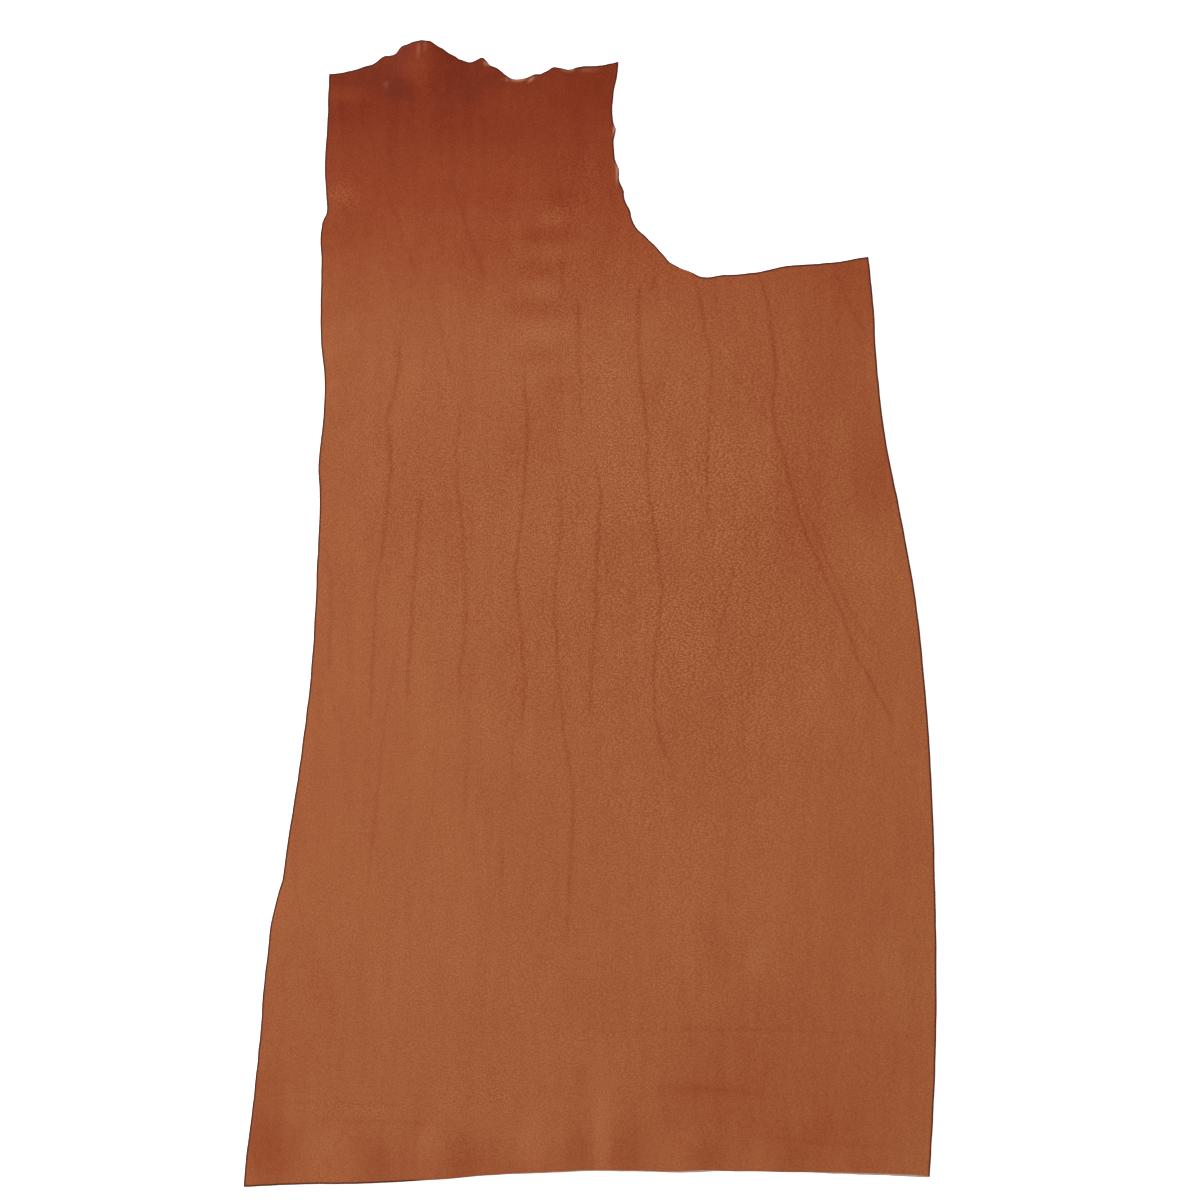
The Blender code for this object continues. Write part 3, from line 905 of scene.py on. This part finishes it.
# Cut edge: raw fibres, nearly black-brown on the old rim, and pale pinkish buff along the fresh knife
# cut.
FRESH_CUT = linear("#957A6E")
EDGE_FIBRE_PITCH, EDGE_FIBRE_HEIGHT = 0.625 * MM, 0.2 * MM
material, tree, shader = new_finish("cut edge of vegetable-tanned leather")
place = add(tree, "TexCoord").outputs["Object"]
paleness = add(tree, "Attribute", {"attribute_name": "paleness"}).outputs["Fac"]
fibres = add(tree, "TexNoise", Vector=place, Scale=1 / EDGE_FIBRE_PITCH, Detail=3.0).outputs["Fac"]
shade = add(
    tree, "Mix", {"data_type": "RGBA"}, Factor=paleness, _6=DARK_RIM, _7=FRESH_CUT
).outputs[2]
tree.links.new(shade, shader.inputs["Base Color"])
shader.inputs["Roughness"].default_value = 0.85
fibres = add(tree, "Math", {"operation": "MULTIPLY"}, _0=fibres, _1=EDGE_FIBRE_HEIGHT).outputs[0]
bump = add(tree, "Bump", Height=fibres, Distance=1.0, Strength=1.0).outputs[0]
tree.links.new(bump, shader.inputs["Normal"])
mesh.materials.append(material)

# Flesh side: split and buffed, a short matt nap like suede in a duller, paler brown.
NAP_LIGHT = linear("#8F6547")
NAP_DARK = linear("#764B30")
NAP_COMBED, NAP_TURN = (0.25, 1, 1), np.radians(70)  # fibres four times as long as wide, and their turn
NAP_FINENESS = 0.9  # swells to a millimetre
NAP_DRIFT_PITCH = 70  # millimetres
NAP_HEIGHT = 0.35 * MM
material, tree, shader = new_finish("buffed flesh side of vegetable-tanned leather")
place = add(tree, "TexCoord").outputs["Object"]
mm = add(tree, "VectorMath", {"operation": "SCALE"}, _0=place, Scale=1 / MM).outputs[0]
combed = add(tree, "Mapping", Vector=mm, Rotation=(0, 0, NAP_TURN), Scale=NAP_COMBED)
nap = add(tree, "TexNoise", Vector=combed.outputs[0], Scale=NAP_FINENESS, Detail=4.0, Roughness=0.7)
drifts = add(tree, "TexNoise", Vector=mm, Scale=1 / NAP_DRIFT_PITCH, Detail=3.0).outputs["Fac"]
mixed = add(tree, "Mix", Factor=0.5, A=nap.outputs["Fac"], B=drifts).outputs[0]
mixed = add(tree, "MapRange", Value=mixed, From_Min=0.35, From_Max=0.65).outputs[0]
shade = add(tree, "Mix", {"data_type": "RGBA"}, Factor=mixed, _6=NAP_DARK, _7=NAP_LIGHT).outputs[2]
tree.links.new(shade, shader.inputs["Base Color"])
shader.inputs["Roughness"].default_value = 0.95
shader.inputs["Sheen Weight"].default_value = 0.2
height = add(tree, "Math", {"operation": "MULTIPLY"}, _0=nap.outputs["Fac"], _1=NAP_HEIGHT).outputs[0]
bump = add(tree, "Bump", Height=height, Distance=1.0, Strength=1.0).outputs[0]
tree.links.new(bump, shader.inputs["Normal"])
mesh.materials.append(material)

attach(hide, "root")
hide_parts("hide")


# ---------------------------------------------------------------------------------------------
# The floor: a plain white board that the hide is laid out on. It is translucent and lit a little from
# below, as a copying table is, which takes the grey out of the shadows at the hide's rim.

FLOOR_HALF = 6.0
FLOOR_GAP = 0.3 * MM  # left under the hide, so that the two don't coincide
FLOOR_WHITE = linear("#F6F5F3")
FLOOR_GLOW = 0.7
floor_mesh = bpy.data.meshes.new("floor")
board = np.array([(-1, -1, 0), (1, -1, 0), (1, 1, 0), (-1, 1, 0)]) * FLOOR_HALF
floor_mesh.from_pydata(board, [], [(0, 1, 2, 3)])
floor = bpy.data.objects.new("floor", floor_mesh)
bpy.context.scene.collection.objects.link(floor)
floor.location.z = -FLOOR_GAP
material, tree, shader = new_finish("matt white board")
shader.inputs["Base Color"].default_value = FLOOR_WHITE
shader.inputs["Roughness"].default_value = 0.9
shader.inputs["Specular IOR Level"].default_value = 0.1
shader.inputs["Emission Color"].default_value = FLOOR_WHITE
shader.inputs["Emission Strength"].default_value = FLOOR_GLOW
floor_mesh.materials.append(material)


# ---------------------------------------------------------------------------------------------
# Light: a white tent, brightest low down all round and dim overhead, so that the wax shows little
# glare, and one big soft box high up beyond the neck on the left.

TENT_WALL, TENT_ROOF = 1.9, 0.35  # brightness
WALL_TOP, ROOF_RIM = 0.35, 0.85  # where each ends: 0 is level and 1 straight up
SOFT_BOX_SIZE, SOFT_BOX_POWER, SOFT_BOX_AT = 2.0, 270, (-3.4, 1.7, 3.8)
world = bpy.data.worlds.new("tent")
world.use_nodes = True
tent = world.node_tree
toward = add(tent, "TexCoord").outputs["Generated"]
height = add(tent, "SeparateXYZ", _0=toward).outputs[2]
glow = add(tent, "MapRange", Value=height, From_Min=WALL_TOP, From_Max=ROOF_RIM)
glow.inputs["To Min"].default_value = TENT_WALL
glow.inputs["To Max"].default_value = TENT_ROOF
tent.links.new(glow.outputs[0], tent.nodes["Background"].inputs["Strength"])
tent.nodes["Background"].inputs["Color"].default_value = (1, 1, 1, 1)
bpy.context.scene.world = world

lamp = bpy.data.lights.new("soft_box", "AREA")
lamp.shape = "SQUARE"
lamp.size = SOFT_BOX_SIZE
lamp.energy = SOFT_BOX_POWER
soft_box = bpy.data.objects.new("soft_box", lamp)
soft_box.location = SOFT_BOX_AT
bpy.context.scene.collection.objects.link(soft_box)
aim = bpy.data.objects.new("aim", None)
bpy.context.scene.collection.objects.link(aim)
track = soft_box.constraints.new("TRACK_TO")
track.target = aim


# ---------------------------------------------------------------------------------------------
# Camera: straight above the hide, far enough off to see it face on, with its own small margins.

VIEW_HEIGHT = 5.0
VIEW_WIDTH = 1.26
CENTRE_OFF = (0.0104, 0.0144)
eye = bpy.data.cameras.new("camera")
eye.sensor_width = 36
eye.lens = eye.sensor_width * VIEW_HEIGHT / VIEW_WIDTH
eye.clip_end = 50
camera = bpy.data.objects.new("camera", eye)
camera.location = (CENTRE_OFF[0], CENTRE_OFF[1], VIEW_HEIGHT)
bpy.context.scene.collection.objects.link(camera)
bpy.context.scene.camera = camera
bpy.context.scene.view_settings.view_transform = "Standard"
